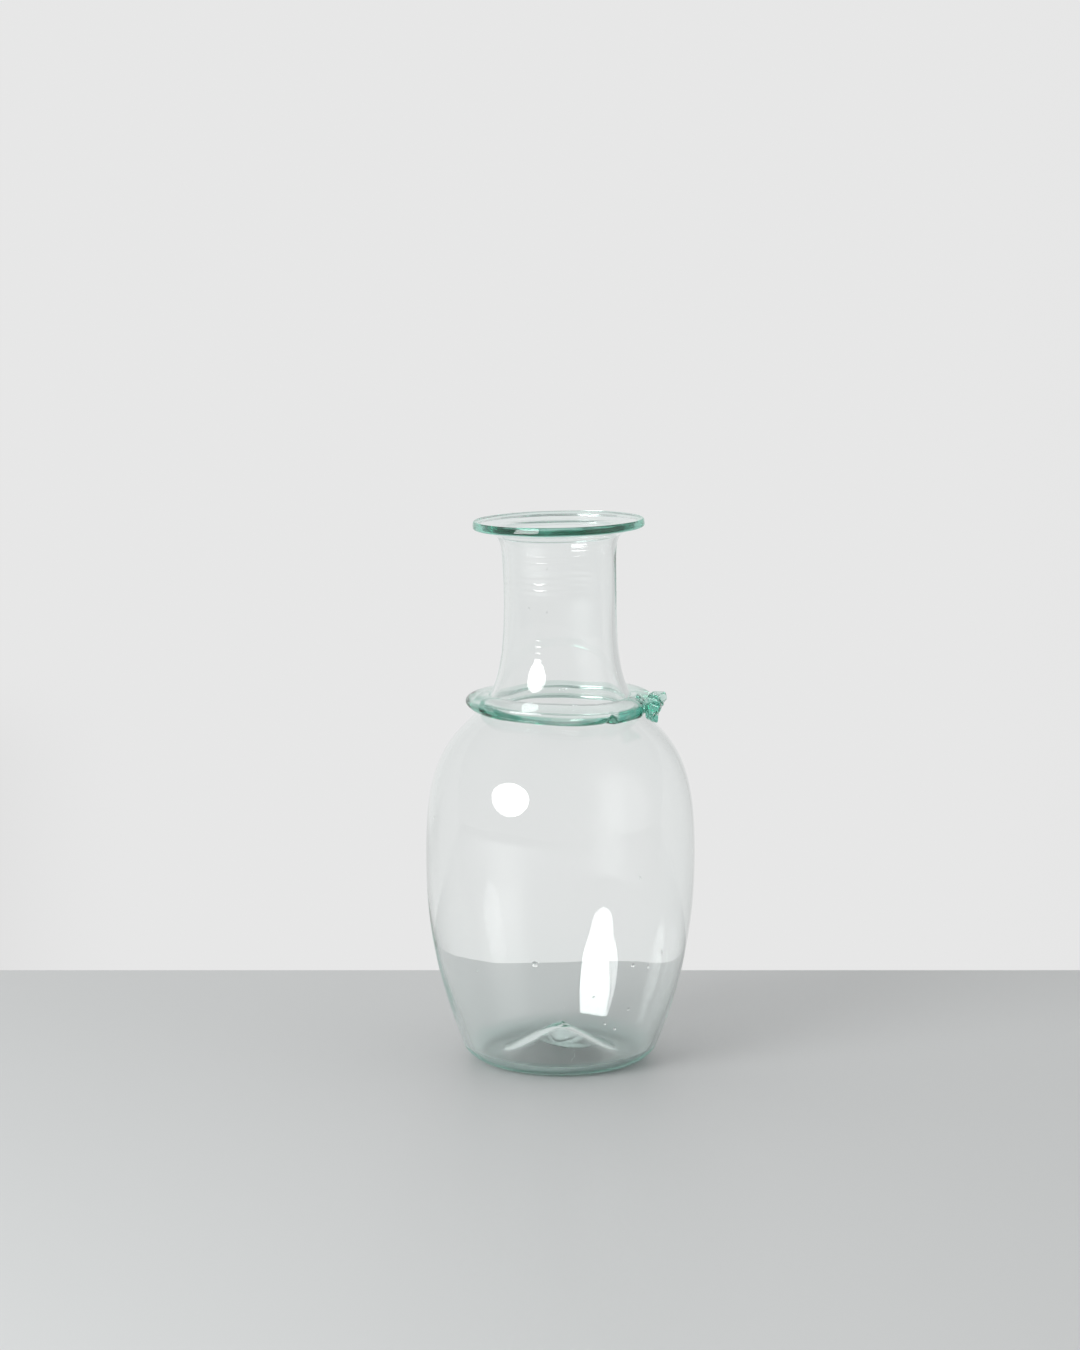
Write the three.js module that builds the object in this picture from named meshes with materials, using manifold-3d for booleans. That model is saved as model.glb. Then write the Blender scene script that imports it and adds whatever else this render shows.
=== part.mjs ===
// Decanter of pale aqua blown glass, with a trail of glass wound round the root of its neck.
// Sizes are millimetres and +Z is up. The origin is the centre of the ring that it stands on.

import * as THREE from 'three';
import { mergeVertices } from 'three/addons/utils/BufferGeometryUtils.js';
import Module from 'manifold-3d';

const wasm = await Module();
wasm.setup();

// Foot, kick and heel
const FOOT_INNER_RADIUS = 25.5;
const FOOT_WIDTH = 3.8;
const KICK_RISE = 11;
const KICK_SKIRT_ROUND = 7;
const KICK_APEX_ROUND = 5;
const HEEL_SPREAD = 10.9;
const HEEL_HEIGHT = 6.8;
const HEEL_LEAN_DEG = 21;
const HEEL_ROUND_BELOW = 5.8;
const HEEL_ROUND_ABOVE = 3.2;

// Ovoid body and shoulder
const BODY_RADIUS = 55.2;
const LOWER_BODY_RISE = 77;
const UPPER_BODY_RISE = 54.3;
const LOWER_BODY_FULLNESS = 28;
const BELLY_FULLNESS_BELOW = 29.7;
const BELLY_FULLNESS_ABOVE = 26;
const SHOULDER_RADIUS = 40;
const SHOULDER_SLOPE_DEG = 45;
const SHOULDER_FULLNESS = 18;

// Neck and flare
const NECK_RADIUS = 22.7;
const NECK_ROOT_RISE = 51.8;
const NECK_ROOT_SPREAD = 16;
const NECK_ROOT_TAPER = 36;
const NECK_RISE = 31.2;
const MOUTH_RADIUS = 34.75;
const FLARE_ANGLE_DEG = 27;
const FLARE_NECK_ROUND = 32;
const FLARE_EDGE_ROUND = 10;

// Thickness of the blown wall, from the kick up to the edge of the flare
const KICK_WALL = 2.8;
const HEEL_WALL = 2.6;
const BELLY_WALL = 1.5;
const SHOULDER_WALL = 1.7;
const NECK_WALL = 1.9;
const FLARE_EDGE_WALL = 2.4;

// The mouth was flared by hand: it leans a little and sits off the axis
const MOUTH_LEAN_DEG = 1.2;
const MOUTH_DRIFT = 0.8;

// Coil of glass on the edge of the flare: an oval, squared off most on the face that looks outwards
const LIP_HALF_DEPTH = 1.75;
const LIP_HALF_HEIGHT = 1.85;
const LIP_FACE_TILT_DEG = 12;
const LIP_FACE_POWER = 4.5;
const LIP_BACK_POWER = 2.2;
const LIP_FACE_BLEND = 2;
const LIP_SEAT_DEPTH = 0.9;

// Trail round the root of the neck, and the end that laps over it
const TRAIL_SEAT = 0.3;
const TRAIL_PROUD = 1.9;
const TRAIL_HALF_WIDTH = 5.9;
const TRAIL_HALF_HEIGHT = 4.1;
const LAP_START_DEG = 26;
const LAP_END_DEG = 57;
const LAP_HALF_WIDTH = 1.9;
const LAP_HALF_HEIGHT = 1.8;
const LAP_TIP_SHARE = 0.35;
const LAP_DROP = 1.6;
const NICK_DEG = -41;
const NICK_RADIUS = 0.7;
const NICK_REACH = 3;

// Pinched tag at the end of the trail
const KNOT_DEG = 60;
const KNOT_RAISE = 0.8;
const KNOT_HEIGHT = 13;
const KNOT_PINCH_SHARE = 0.42;
const KNOT_PINCH_LENGTH = 3.4;
const KNOT_OUTER_REACH = 9;
const KNOT_INNER_REACH = 2.6;
const KNOT_LOWER_SHARE = 0.62;
const KNOT_THICKNESS = 2.6;
const KNOT_PLEATS = 1.5;
const KNOT_PLEAT_DEPTH = 1.5;
const KNOT_EDGE_ROUND = 0.6;

// Scar of glass under the kick
const WAD_RADIUS = 6;
const WAD_DEPTH = 3.2;
const WAD_DISH = 0.8;

// Fused pieces stand this far apart
const FUSE_GAP = 0.3;

// Fineness of the facets, and how near two corners are before they are one
const TURN_STEPS = 40;
const KICK_STEPS = 6;
const HEEL_STEPS = 4;
const LOWER_BODY_STEPS = 6;
const UPPER_BODY_STEPS = 7;
const NECK_ROOT_STEPS = 9;
const FLARE_STEPS = 10;
const COIL_STEPS = 18;
const TRAIL_STEPS = 14;
const LAP_TIP_STEPS = 4;
const LAP_ROUND_STEPS = 10;
const LAP_LENGTH_STEPS = 6;
const NICK_STEPS = 8;
const PLEAT_STEPS = 14;
const REACH_STEPS = 8;
const EDGE_STEPS = 2;
const WELD = 1e-4;

// Looks: the pale glass of the vessel and the stronger glass of what was laid on it
const PALE_AQUA = 0xdce8e4;
const STRONG_AQUA = 0x71a595;
const GLASS_ROUGHNESS = 0.04;
const GLASS_OPACITY = 0.35;

const rad = THREE.MathUtils.degToRad;
const point = (r, z) => new THREE.Vector2(r, z);
const heading = (degrees) => point(Math.cos(rad(degrees)), Math.sin(rad(degrees)));
const along = (from, direction, distance) => from.clone().addScaledVector(direction, distance);
const smooth = (t) => THREE.MathUtils.smoothstep(t, 0, 1);

// Places on the outside of the vessel, each (radius, height)
const apex = point(0, KICK_RISE);
const footInner = point(FOOT_INNER_RADIUS, 0);
const footOuter = point(FOOT_INNER_RADIUS + FOOT_WIDTH, 0);
const heel = point(footOuter.x + HEEL_SPREAD, HEEL_HEIGHT);
const belly = point(BODY_RADIUS, heel.y + LOWER_BODY_RISE);
const shoulder = point(SHOULDER_RADIUS, belly.y + UPPER_BODY_RISE);
const waist = point(NECK_RADIUS, shoulder.y + NECK_ROOT_RISE);
const coilCentre = point(MOUTH_RADIUS - LIP_HALF_DEPTH, waist.y + NECK_RISE);

// Directions that the outline runs in at those places, going up
const heelRun = heading(90 - HEEL_LEAN_DEG);
const shoulderRun = heading(180 - SHOULDER_SLOPE_DEG);
const flareRun = heading(FLARE_ANGLE_DEG);
const upward = heading(90);
const outward = heading(0);

// The flare ends square to its run, one fuse gap short of the flat seat on the lip coil
const edgeMiddle = along(coilCentre, flareRun, -LIP_SEAT_DEPTH - FUSE_GAP);
const flareEdge = along(edgeMiddle, heading(FLARE_ANGLE_DEG - 90), FLARE_EDGE_WALL / 2);

// A stretch of the outline: a Bezier curve with a wall that changes smoothly from end to end
function stretch(from, fromRun, fromHandle, to, toRun, toHandle, fromWall, toWall, steps) {
  const curve = new THREE.CubicBezierCurve(
    from,
    along(from, fromRun, fromHandle),
    along(to, toRun, -toHandle),
    to,
  );
  return { curve, steps, wall: (t) => THREE.MathUtils.lerp(fromWall, toWall, smooth(t)) };
}

const kick = stretch(
  apex, outward, KICK_APEX_ROUND,
  footInner, outward, KICK_SKIRT_ROUND,
  KICK_WALL, KICK_WALL, KICK_STEPS,
);
const heelTurn = stretch(
  footOuter, outward, HEEL_ROUND_BELOW,
  heel, heelRun, HEEL_ROUND_ABOVE,
  KICK_WALL, HEEL_WALL, HEEL_STEPS,
);
const lowerBody = stretch(
  heel, heelRun, LOWER_BODY_FULLNESS,
  belly, upward, BELLY_FULLNESS_BELOW,
  HEEL_WALL, BELLY_WALL, LOWER_BODY_STEPS,
);
const upperBody = stretch(
  belly, upward, BELLY_FULLNESS_ABOVE,
  shoulder, shoulderRun, SHOULDER_FULLNESS,
  BELLY_WALL, SHOULDER_WALL, UPPER_BODY_STEPS,
);
const neckRoot = stretch(
  shoulder, shoulderRun, NECK_ROOT_SPREAD,
  waist, upward, NECK_ROOT_TAPER,
  SHOULDER_WALL, NECK_WALL, NECK_ROOT_STEPS,
);
const flare = stretch(
  waist, upward, FLARE_NECK_ROUND,
  flareEdge, flareRun, FLARE_EDGE_ROUND,
  NECK_WALL, FLARE_EDGE_WALL, FLARE_STEPS,
);
const side = [heelTurn, lowerBody, upperBody, neckRoot, flare];

// The outward normal of a stretch that runs up the outside, or out along the underside,
// square to the exact slope of its Bezier curve
function outwardNormal({ v0, v1, v2, v3 }, t) {
  const run = v1.clone().sub(v0).multiplyScalar((1 - t) ** 2);
  run.addScaledVector(v2.clone().sub(v1), 2 * (1 - t) * t);
  run.addScaledVector(v3.clone().sub(v2), t ** 2);
  run.normalize();
  return point(run.y, -run.x);
}

// Points of a stretch, moved by `offset(t)` along its outward normal
function offsetPoints({ curve, steps }, offset) {
  const points = [];
  for (let i = 0; i <= steps; i += 1) {
    const t = i / steps;
    points.push(along(curve.getPoint(t), outwardNormal(curve, t), offset(t)));
  }
  return points;
}

const outside = (part) => offsetPoints(part, () => 0);
const inside = (part) => offsetPoints(part, (t) => -part.wall(t));
const grown = (part) => offsetPoints(part, () => FUSE_GAP);

// A point on the axis at the same height as the one given
const onAxis = (place) => point(0, place.y);

// Revolves a profile about +Z
function turned(profile) {
  return new THREE.LatheGeometry(profile, TURN_STEPS).rotateX(Math.PI / 2);
}

// Moves each vertex of a geometry to where `move` puts it
function reshape(geometry, move) {
  const places = geometry.getAttribute('position');
  const place = new THREE.Vector3();
  for (let i = 0; i < places.count; i += 1) {
    move(place.fromBufferAttribute(places, i));
    places.setXYZ(i, place.x, place.y, place.z);
  }
  return geometry;
}

// Leans and shifts the mouth, from nothing at the waist of the neck to all of it at the flare's edge
function leanMouth(geometry) {
  const slope = Math.tan(rad(MOUTH_LEAN_DEG));
  return reshape(geometry, (place) => {
    const share = smooth((place.z - waist.y) / (flareEdge.y - waist.y));
    place.z += share * slope * place.x;
    place.x -= share * MOUTH_DRIFT;
  });
}

// Joining and cutting of closed geometries
function solid(geometry) {
  const bare = geometry.clone();
  bare.deleteAttribute('normal');
  bare.deleteAttribute('uv');
  const welded = mergeVertices(bare, WELD);
  const mesh = new wasm.Mesh({
    numProp: 3,
    vertProperties: new Float32Array(welded.getAttribute('position').array),
    triVerts: new Uint32Array(welded.index.array),
  });
  return new wasm.Manifold(mesh);
}

function geometryOf(manifold) {
  const { vertProperties, triVerts } = manifold.getMesh();
  const geometry = new THREE.BufferGeometry();
  geometry.setAttribute('position', new THREE.BufferAttribute(vertProperties, 3));
  geometry.setIndex(new THREE.BufferAttribute(triVerts, 1));
  geometry.computeVertexNormals();
  return geometry;
}

// The blown vessel: out under the kick, up the outside, over the edge and down the inside
function vessel() {
  const outline = [
    ...outside(kick),
    ...side.flatMap(outside),
    ...side.flatMap(inside).reverse(),
    ...inside(kick).reverse(),
  ];
  return leanMouth(turned(outline));
}

// Half-size of the lip coil's section along a direction, before its seat is cut
function lipReach(angle) {
  const tilted = angle - rad(LIP_FACE_TILT_DEG);
  const facing = smooth(0.5 + LIP_FACE_BLEND * Math.cos(tilted));
  const power = THREE.MathUtils.lerp(LIP_BACK_POWER, LIP_FACE_POWER, facing);
  const depthShare = Math.abs(Math.cos(tilted) / LIP_HALF_DEPTH);
  const heightShare = Math.abs(Math.sin(tilted) / LIP_HALF_HEIGHT);
  return (depthShare ** power + heightShare ** power) ** (-1 / power);
}

// The lip coil: its section carried round the mouth, with a flat seat that faces the edge of the flare
function lipWrap() {
  const seatEdge = Math.PI / 2 + Math.atan2(LIP_SEAT_DEPTH, FLARE_EDGE_WALL / 2);
  const section = [];
  for (let i = 0; i <= COIL_STEPS; i += 1) {
    const turn = seatEdge * (2 * (i / COIL_STEPS) - 1);
    const angle = turn + rad(FLARE_ANGLE_DEG);
    const toSeat = Math.cos(turn) < 0 ? -LIP_SEAT_DEPTH / Math.cos(turn) : Infinity;
    const reach = Math.min(lipReach(angle), toSeat);
    section.push(point(
      coilCentre.x + reach * Math.cos(angle),
      coilCentre.y + reach * Math.sin(angle),
    ));
  }
  section.push(section[0].clone());
  return leanMouth(turned(section));
}

// Where the trail's section is centred, on the shoulder's outside
const trailCentre = along(
  neckRoot.curve.getPoint(TRAIL_SEAT),
  outwardNormal(neckRoot.curve, TRAIL_SEAT),
  TRAIL_PROUD,
);
const trailRadius = trailCentre.x + TRAIL_HALF_WIDTH;

// The filled outside of the shoulder and neck, one fuse gap larger
function shoulderForm() {
  const profile = [...grown(upperBody), ...grown(neckRoot)];
  return solid(turned([onAxis(profile[0]), ...profile, onAxis(profile.at(-1))]));
}

// The trail's ring, an oval section carried once round the neck
function trailRing(grow) {
  const section = [];
  for (let i = 0; i <= TRAIL_STEPS; i += 1) {
    const angle = 2 * Math.PI * (i / TRAIL_STEPS);
    section.push(point(
      trailCentre.x + (TRAIL_HALF_WIDTH + grow) * Math.cos(angle),
      trailCentre.y + (TRAIL_HALF_HEIGHT + grow) * Math.sin(angle),
    ));
  }
  section[TRAIL_STEPS].copy(section[0]);
  return solid(turned(section));
}

// Bends a shape that lies along Y round the trail: Y becomes the way round, X the way out
function bendRound(geometry, radius, startDeg) {
  return reshape(geometry, (place) => {
    const angle = rad(startDeg) + place.y / radius;
    const reach = radius + place.x;
    place.x = reach * Math.sin(angle);
    place.y = -reach * Math.cos(angle);
  });
}

// The lapped end: a flattened finger that swells from its tip towards the knot
function lappedEnd(grow) {
  const radius = trailRadius - LAP_HALF_WIDTH / 2;
  const length = rad(LAP_END_DEG - LAP_START_DEG) * radius;
  const finger = new THREE.CapsuleGeometry(1, length, LAP_TIP_STEPS, LAP_ROUND_STEPS, LAP_LENGTH_STEPS);
  reshape(finger, (place) => {
    const swell = THREE.MathUtils.lerp(LAP_TIP_SHARE, 1, smooth(place.y / length + 0.5));
    place.x *= swell * LAP_HALF_WIDTH + grow;
    place.z = place.z * (swell * LAP_HALF_HEIGHT + grow) + trailCentre.y - LAP_DROP;
  });
  return solid(bendRound(finger, radius, (LAP_START_DEG + LAP_END_DEG) / 2));
}

// The nick: a small round cut down the outer face of the ring
function nick() {
  const cutter = new THREE.CylinderGeometry(NICK_RADIUS, NICK_RADIUS, 2 * NICK_REACH, NICK_STEPS);
  cutter.rotateX(Math.PI / 2);
  cutter.translate(0, 0, trailCentre.y - TRAIL_HALF_HEIGHT);
  return solid(bendRound(cutter, trailRadius, NICK_DEG));
}

function collarTrail() {
  const trail = trailRing(0).add(lappedEnd(0)).subtract(nick());
  return geometryOf(trail.subtract(shoulderForm()));
}

// The pleated ribbon that the knot is pinched from: a wavy band, as tall as the knot
function pleatedRibbon() {
  const wave = (share) => KNOT_PLEAT_DEPTH * Math.sin(2 * Math.PI * KNOT_PLEATS * share);
  const edge = (sideSign) => {
    const points = [];
    for (let i = 0; i <= PLEAT_STEPS; i += 1) {
      const share = i / PLEAT_STEPS - 0.5;
      points.push(point(wave(share) + sideSign * KNOT_THICKNESS / 2, share * KNOT_HEIGHT));
    }
    return points;
  };
  return new THREE.Shape([...edge(1), ...edge(-1).reverse()]);
}

// The knot: the ribbon drawn out from the trail, pinched to a waist where the tool closed on it.
// Its lower half reaches out less than its upper half.
function trailKnot() {
  const length = KNOT_INNER_REACH + KNOT_OUTER_REACH;
  const ribbon = new THREE.ExtrudeGeometry(pleatedRibbon(), {
    depth: length,
    steps: REACH_STEPS,
    bevelSize: KNOT_EDGE_ROUND,
    bevelThickness: KNOT_EDGE_ROUND,
    bevelOffset: -KNOT_EDGE_ROUND,
    bevelSegments: EDGE_STEPS,
  });
  reshape(ribbon, (place) => {
    const out = place.z - KNOT_INNER_REACH;
    const open = smooth(Math.abs(out) / KNOT_PINCH_LENGTH);
    const height = THREE.MathUtils.lerp(KNOT_PINCH_SHARE, 1, open) * place.y;
    const reach = THREE.MathUtils.lerp(KNOT_LOWER_SHARE, 1, smooth(place.y / KNOT_HEIGHT + 0.5));
    place.set(out > 0 ? out * reach : out, place.x, height + trailCentre.y + KNOT_RAISE);
  });
  bendRound(ribbon, trailRadius, KNOT_DEG);
  const neighbours = trailRing(FUSE_GAP).add(lappedEnd(FUSE_GAP)).add(shoulderForm());
  return geometryOf(solid(ribbon).subtract(neighbours));
}

// The scar: a dished disc of glass, cut to the underside of the kick
function pontilWad() {
  const floor = KICK_RISE - FUSE_GAP - WAD_DEPTH;
  const disc = turned([
    point(0, floor + WAD_DISH),
    point(WAD_RADIUS / 2, floor),
    point(WAD_RADIUS, floor + WAD_DISH),
    point(WAD_RADIUS, KICK_RISE),
    point(0, KICK_RISE),
  ]);
  const underside = [...grown(kick), ...inside(kick).reverse()];
  return geometryOf(solid(disc).subtract(solid(turned(underside))));
}

// Clear glass of one tint
function glass(colour) {
  return new THREE.MeshStandardMaterial({
    color: colour,
    roughness: GLASS_ROUGHNESS,
    metalness: 0,
    transparent: true,
    opacity: GLASS_OPACITY,
  });
}

const decanter = new THREE.Group();
const pieces = [
  ['vessel', vessel(), PALE_AQUA],
  ['lip_wrap', lipWrap(), STRONG_AQUA],
  ['collar_trail', collarTrail(), STRONG_AQUA],
  ['trail_knot', trailKnot(), STRONG_AQUA],
  ['pontil_wad', pontilWad(), PALE_AQUA],
];
for (const [name, geometry, colour] of pieces) {
  const piece = new THREE.Mesh(geometry, glass(colour));
  piece.name = name;
  decanter.add(piece);
}

export default decanter;
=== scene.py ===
import math

import bpy
import numpy as np
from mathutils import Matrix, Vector


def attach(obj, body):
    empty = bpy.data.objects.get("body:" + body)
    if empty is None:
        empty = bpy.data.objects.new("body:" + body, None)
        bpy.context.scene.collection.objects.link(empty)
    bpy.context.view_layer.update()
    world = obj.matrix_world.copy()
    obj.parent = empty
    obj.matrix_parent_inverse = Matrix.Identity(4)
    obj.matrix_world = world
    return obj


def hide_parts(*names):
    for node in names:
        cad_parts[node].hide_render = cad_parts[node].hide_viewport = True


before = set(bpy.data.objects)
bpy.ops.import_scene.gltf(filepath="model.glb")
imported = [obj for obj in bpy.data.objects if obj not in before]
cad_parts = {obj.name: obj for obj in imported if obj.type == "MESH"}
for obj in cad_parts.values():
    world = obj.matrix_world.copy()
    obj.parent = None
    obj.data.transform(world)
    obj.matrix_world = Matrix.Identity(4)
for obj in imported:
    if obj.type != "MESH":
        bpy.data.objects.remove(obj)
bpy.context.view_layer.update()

# Sizes are millimetres until a mesh is made; heights start at the ring that the decanter stands on.
# Azimuth is in degrees from the front, -Y, towards +X. A tilt is in degrees up from outwards, in a section.
# A fade is a pair of places: where a thing is nothing, and where it is whole.
# A wave is its size, how many go round, its phase, and its drift with each millimetre of height.
MM = 0.001

# Foot, kick and heel
FOOT_INNER_RADIUS = 25.5
FOOT_WIDTH = 3.8
KICK_RISE = 11.0
KICK_SKIRT_ROUND = 7.0
KICK_APEX_ROUND = 5.0
HEEL_SPREAD = 10.9
HEEL_HEIGHT = 6.8
HEEL_LEAN = 21.0
HEEL_ROUND_BELOW = 5.8
HEEL_ROUND_ABOVE = 3.2

# Ovoid body and shoulder
BODY_RADIUS = 55.2
LOWER_BODY_RISE = 77.0
UPPER_BODY_RISE = 54.3
LOWER_BODY_FULLNESS = 28.0
BELLY_FULLNESS_BELOW = 29.7
BELLY_FULLNESS_ABOVE = 26.0
SHOULDER_RADIUS = 40.0
SHOULDER_SLOPE = 45.0
SHOULDER_FULLNESS = 18.0

# Neck and flare
NECK_RADIUS = 22.7
NECK_ROOT_RISE = 51.8
NECK_ROOT_SPREAD = 16.0
NECK_ROOT_TAPER = 36.0
NECK_RISE = 31.2
MOUTH_RADIUS = 34.75
FLARE_ANGLE = 27.0
FLARE_NECK_ROUND = 32.0
FLARE_EDGE_ROUND = 10.0
EDGE_CREASE = 0.02

# Wall, from the kick up to the edge of the flare
KICK_WALL = 2.8
HEEL_WALL = 2.6
BELLY_WALL = 1.5
SHOULDER_WALL = 1.7
NECK_WALL = 1.9
FLARE_EDGE_WALL = 2.4

# Slow waves in the blown outside, and the shallow flat on its far side
OUTSIDE_WAVES = (0.16, 2, 0.7, 1 / 55), (0.10, 3, -1.1, -1 / 40)
OUTSIDE_STARTS = 8.0, 33.0
OUTSIDE_ENDS = 212.0, 200.0
TRAIL_CALM = 14.0
TOOL_SIDE = -22.0
FAR_SIDE = TOOL_SIDE + 180.0
FLAT_DEPTH = 0.55
FLAT_SPREAD = 20.0
FLAT_STARTS = 0.0, 16.0
FLAT_ENDS = 66.0, 40.0

# Rings that the tool left on the neck: middle height, depth, spread and phase of each band
TOOL_RINGS = (208.5, 0.090, 3.0, 2.6), (197.5, 0.058, 3.4, 2.9), (172.5, 0.016, 4.0, 2.2)
RING_PITCH = 2.6
RING_SWAY = 0.4
RING_SPREAD = 34.0
RING_FAINT = 0.3
SWELLING = 0.22
SWELLING_HEIGHT = 174.0
SWELLING_RISE = 6.5
SWELLING_SPREAD = 26.0

# Waves in the wall's thickness, and the thinner places: depth, and middle and spread of the height
INSIDE_WAVES = (0.10, 3, 2.0, 1 / 37), (0.07, 5, -0.5, -1 / 29), (0.05, 8, 0.0, 1 / 17)
INSIDE_STARTS = 16.0, 36.0
INSIDE_ENDS = 214.0, 204.0
BACK_THINNING = 0.62
BACK_THIN_HEIGHT = 26.0, 18.0
BACK_THIN_STARTS = 88.0, 128.0
BACK_THIN_ENDS = 165.0, 135.0
RIGHT_THINNING = 0.8
RIGHT_THIN_HEIGHT = 34.0, 24.0
RIGHT_THIN_SIDE = 92.0
RIGHT_THIN_SPREAD = 30.0

# Green of the vessel, by height, and by radius under the kick: partly the thick glass's own green, partly
# painted shade that tints the lower body's edges teal
FOOT_GREEN_FADE = 9.5, 0.5
BODY_GREEN_AND_SHADE = 0.12
BODY_GREEN_AND_SHADE_FADE = 48.0, 8.0
KICK_GREEN = 0.15
KICK_GREEN_FADE = 21.0, 26.0
INSIDE_GREEN = 0.25
MOUTH_GREEN = 0.2
MOUTH_GREEN_FADE = 214.0, 219.0

# Mouth that was flared by hand
MOUTH_LEAN = 1.2
MOUTH_DRIFT = 0.8

# Lip coil, and how near the scene's pieces lie to each other
LIP_COIL_RADIUS = 1.75
LIP_HALF_HEIGHT = 1.85
LIP_FACE_TILT = 12.0
LIP_ROUND_POWER = 2.2
LIP_SQUARE_POWER = 4.5
LIP_BLEND_POWER = 20
LIP_FRONT_GAIN = 0.9
LIP_SQUARE_GAIN = 2.0
LIP_SEAT_DEPTH = 0.9
LIP_TILT_WAVES = (2.0, 9, 0.6, 0.0), (1.6, 14, 2.0, 0.0)
LIP_SWELL_WAVES = (0.035, 3, 1.0, 0.0), (0.025, 7, 2.2, 0.0)
# Painted shade on the lip: a dark green on its outer face, darker in front than at the back, faint inside
LIP_INNER_SHADE = 0.1
LIP_BACK_SHADE = 0.35
LIP_SHADE_LEVEL = 0.4
LIP_SHADE_GAIN = 1.4
FUSE_GAP = 0.04

# Trail round the root of the neck
TRAIL_SEAT = 0.3
TRAIL_PROUD = 1.9
TRAIL_HALF_WIDTH = 5.9
TRAIL_HALF_HEIGHT = 4.1
TRAIL_WIDTH_WAVES = (0.04, 3, 0.4, 0.0), (0.03, 5, 0.0, 0.0)
TRAIL_HEIGHT_WAVES = (0.05, 2, 2.0, 0.0), (0.03, 6, 1.0, 0.0)
TRAIL_THIN_SIDES = (0.22, -105.0, 40.0), (0.15, 180.0, 50.0)
TRAIL_MELTED = 68.75
TRAIL_MELT_RUN = 10.0
TRAIL_MELT_DEPTH = 0.4

# Sag of the trail in front, the lap of its end over its start, and the nick on its left
SAG_DEPTH = 0.9
SAG_SIDE = 22.0
SAG_SPREAD = 26.0
SAG_WAVES = ((0.2, 2, 1.3, 0.0),)
SAG_OUT = 0.5
SAG_DOWN = 0.7
LAP_START = 29.0
LAP_END = 63.0
LAP_FADES = (0.0, 6.0), (0.0, 8.0)
LAP_THICK = 1.5
LAP_TILT = -28.0
LAP_TILT_SPREAD = 26.0
CREASE_DEPTH = 0.5
CREASE_SIDE = 30.0
CREASE_SPREAD = 1.6
CREASE_TILT = -35.0
CREASE_TILT_SPREAD = 40.0
NICK_DEPTH = 0.55
NICK_SIDE = -41.0
NICK_SPREAD = 1.3
NICK_SLANT = 0.09
NICK_TILT = -40.0
NICK_TILT_SPREAD = 34.0

# Painted shade on the trail, a dark green along its lower edge: how high up its section it reaches, over how
# many degrees, and where it pales
TRAIL_SHADE = 0.85
TRAIL_SHADE_TOP = 2.0
TRAIL_SHADE_RUN = 8.0
TRAIL_SHADE_FOOT_FADE = -150.0, -120.0
LAP_SHADE_FADES = (4.0, 8.0), (2.0, 8.0)
LAP_SHADE_RISE = 14.0
SIDE_SHADE_RISE = 30.0
SIDE_SHADE_SPREAD = 26.0
# The paler spot in front is painted light
PAINTED_LIGHT_FRONT = 0.3
PAINTED_LIGHT_FRONT_SIDE = 4.0
PAINTED_LIGHT_FRONT_SPREAD = 9.0
TRAIL_BACK_SHADE = 0.3
TRAIL_BACK_LEVEL = 0.8

# Pinched tag at the end of the trail, in shares of its height and run where no size is meant
KNOT_AZIMUTH = 60.0
KNOT_RAISE = 0.8
KNOT_HEIGHT = 13.0
KNOT_RUN = 13.0
KNOT_INWARDS = 3.4
KNOT_OUTWARDS = 0.4
KNOT_WAIST = 0.40
KNOT_WAIST_RUN = 4.2
KNOT_END_ROUND = 0.10
KNOT_END_HEIGHT = 0.55
KNOT_UNDERCUT = 0.40
KNOT_SCALLOPS = 2.6
KNOT_SCALLOP_DEPTH = 0.16
KNOT_PLEATS = 1.7
KNOT_PLEAT_PHASE = 0.6
KNOT_PLEAT_TWIST = 0.10
KNOT_PLEAT_SHUT = 0.3
KNOT_PLEAT_OPEN = 2.2
KNOT_THICKNESS = 1.15
KNOT_THICKNESS_WAVER = 0.3
KNOT_SHUT_THICKNESS = 0.8
KNOT_OPEN_THICKENING = 0.35
KNOT_BLUNTNESS = 0.2
# Green of the tag: partly its own, partly painted shade, darker low down and paler towards the top
KNOT_GREEN_AND_SHADE_FADE = -4.0, -1.0
KNOT_GREEN_AND_SHADE_LEVEL = 0.95
KNOT_GREEN_AND_SHADE_PALING = 1.1

# Scar under the kick, ground flat at a slant
WAD_DEPTH = 5.0
WAD_SLANT = 7.0
WAD_GREEN = 0.1

# Unmelted grains on the wall: azimuth, height, half-length round, half-length up
GRAINS = [
    (-11.0, 51.5, 1.4, 1.3), (33.0, 49.0, 0.85, 0.9), (42.0, 47.0, 0.6, 0.7), (50.0, 52.0, 0.55, 0.7),
    (15.0, 37.0, 0.5, 0.6), (34.0, 30.0, 0.6, 0.6), (22.0, 25.0, 0.55, 0.55), (28.0, 22.0, 0.65, 0.6),
    (-34.0, 189.0, 0.3, 0.45), (-14.0, 205.0, 0.3, 0.4), (78.0, 118.0, 0.35, 0.55),
    (140.0, 66.0, 0.6, 0.7), (-160.0, 93.0, 0.5, 0.7), (-95.0, 40.0, 0.7, 0.6), (105.0, 128.0, 0.4, 0.6),
    (-130.0, 27.0, 0.5, 0.45), (165.0, 35.0, 0.45, 0.5), (-70.0, 104.0, 0.35, 0.5),
    (195.0, 182.0, 0.3, 0.45),
]
GRAIN_FLATNESS = 0.5

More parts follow.
